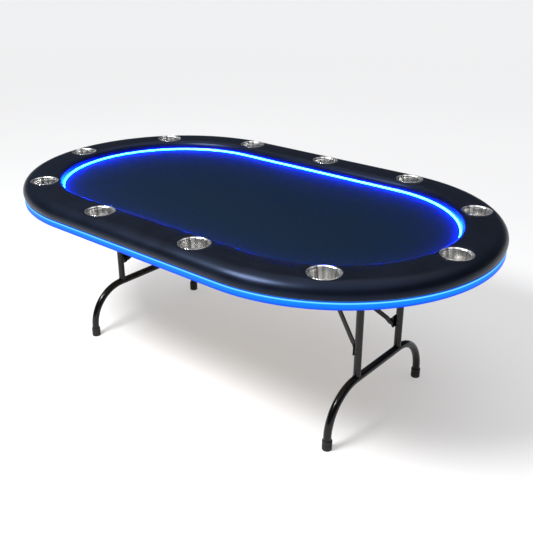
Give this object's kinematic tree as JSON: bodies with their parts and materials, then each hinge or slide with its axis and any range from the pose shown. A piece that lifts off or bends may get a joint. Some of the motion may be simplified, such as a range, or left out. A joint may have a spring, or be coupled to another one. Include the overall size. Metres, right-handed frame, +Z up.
{
  "type": "folding card table",
  "caption": "Oval folding card table with a padded rail, drop-in steel cups, light bands round the rail and two folding leg frames with braces.",
  "frame": {"origin": "on the floor, under the middle of the table top", "axes": "+X along the table, +Y towards the side with one cup in the middle, +Z up"},
  "size_m": [2.083, 1.25, 0.762],
  "materials": {
    "board": "raw fibreboard",
    "foam": "closed-cell foam",
    "cloth": "woven speed cloth",
    "vinyl": "satin vinyl",
    "light": "lit translucent diffuser",
    "channel": "satin anodised",
    "steel": "brushed stainless",
    "paint": "black powder coat",
    "zinc": "zinc plated",
    "rubber": "moulded rubber",
    "plastic": "moulded"
  },
  "bodies": {
    "table_top": {"base_deck": "board", "playfield_board": "board", "playfield_foam": "foam", "speed_cloth": "cloth", "rail_spacer_ring": "board", "rail_board": "board", "rail_foam": "foam", "rail_vinyl": "vinyl", "inner_led_channel": "channel", "inner_led_strip": "light", "outer_led_strip": "light", "outer_led_diffuser": "light", "cup_holder_01": "steel", "cup_holder_02": "steel", "cup_holder_03": "steel", "cup_holder_04": "steel", "cup_holder_05": "steel", "cup_holder_06": "steel", "cup_holder_07": "steel", "cup_holder_08": "steel", "cup_holder_09": "steel", "cup_holder_10": "steel", "cup_holder_11": "steel", "controller_case": "plastic", "power_inlet": "zinc", "hinge_bracket_front_right": "zinc", "hinge_bracket_back_right": "zinc", "stay_bracket_right": "zinc", "stay_pin_right": "zinc", "hinge_bracket_front_left": "zinc", "hinge_bracket_back_left": "zinc", "stay_bracket_left": "zinc", "stay_pin_left": "zinc"},
    "power_button": {"power_button": "plastic"},
    "leg_right": {"foot_tube_right": "paint", "pivot_tube_right": "paint", "upright_front_right": "paint", "upright_back_right": "paint", "foot_cap_front_right": "rubber", "foot_cap_back_right": "rubber", "brace_tab_front_right": "paint", "brace_tab_back_right": "paint"},
    "stay_right": {"stay_bar_right": "paint"},
    "brace_right": {"brace_arm_front_right": "paint", "brace_arm_back_right": "paint", "knee_pin_right": "zinc"},
    "ring_right": {"lock_ring_right": "zinc"},
    "leg_left": {"foot_tube_left": "paint", "pivot_tube_left": "paint", "upright_front_left": "paint", "upright_back_left": "paint", "foot_cap_front_left": "rubber", "foot_cap_back_left": "rubber", "brace_tab_front_left": "paint", "brace_tab_back_left": "paint"},
    "stay_left": {"stay_bar_left": "paint"},
    "brace_left": {"brace_arm_front_left": "paint", "brace_arm_back_left": "paint", "knee_pin_left": "zinc"},
    "ring_left": {"lock_ring_left": "zinc"}
  },
  "joints": [
    {"name": "power_button_press", "type": "slide", "parent": "table_top", "child": "power_button", "axis": [0, -1, 0], "range_m": [0, 0.0015], "stiffness_N_per_m": 400},
    {"name": "leg_fold_right", "type": "hinge", "parent": "table_top", "child": "leg_right", "pos_m": [0.65, 0, 0.6301], "axis": [0, 1, 0], "range_deg": [0, 90]},
    {"name": "stay_swing_right", "type": "hinge", "parent": "table_top", "child": "stay_right", "pos_m": [0.22, 0, 0.6571], "axis": [0, 1, 0], "range_deg": [0, 140.95]},
    {"name": "brace_knee_right", "type": "hinge", "parent": "stay_right", "child": "brace_right", "pos_m": [0.37103, 0, 0.53456], "axis": [0, 1, 0], "range_deg": [-180.01, 0]},
    {"name": "lock_ring_slide_right", "type": "slide", "parent": "stay_right", "child": "ring_right", "axis": [-0.7765, 0, 0.6301], "range_m": [0, 0.1401]},
    {"name": "leg_fold_left", "type": "hinge", "parent": "table_top", "child": "leg_left", "pos_m": [-0.65, 0, 0.6301], "axis": [0, -1, 0], "range_deg": [0, 90]},
    {"name": "stay_swing_left", "type": "hinge", "parent": "table_top", "child": "stay_left", "pos_m": [-0.22, 0, 0.6571], "axis": [0, -1, 0], "range_deg": [0, 140.95]},
    {"name": "brace_knee_left", "type": "hinge", "parent": "stay_left", "child": "brace_left", "pos_m": [-0.37103, 0, 0.53456], "axis": [0, -1, 0], "range_deg": [-180.01, 0]},
    {"name": "lock_ring_slide_left", "type": "slide", "parent": "stay_left", "child": "ring_left", "axis": [0.7765, 0, 0.6301], "range_m": [0, 0.1401]}
  ],
  "couplings": [
    {"joint": "stay_swing_right", "follows": "leg_fold_right", "ratio": 1.566},
    {"joint": "brace_knee_right", "follows": "leg_fold_right", "ratio": -2},
    {"joint": "lock_ring_slide_right", "follows": "leg_fold_right", "m_per_rad": 0.089127},
    {"joint": "stay_swing_left", "follows": "leg_fold_left", "ratio": 1.566},
    {"joint": "brace_knee_left", "follows": "leg_fold_left", "ratio": -2},
    {"joint": "lock_ring_slide_left", "follows": "leg_fold_left", "m_per_rad": 0.089127}
  ]
}
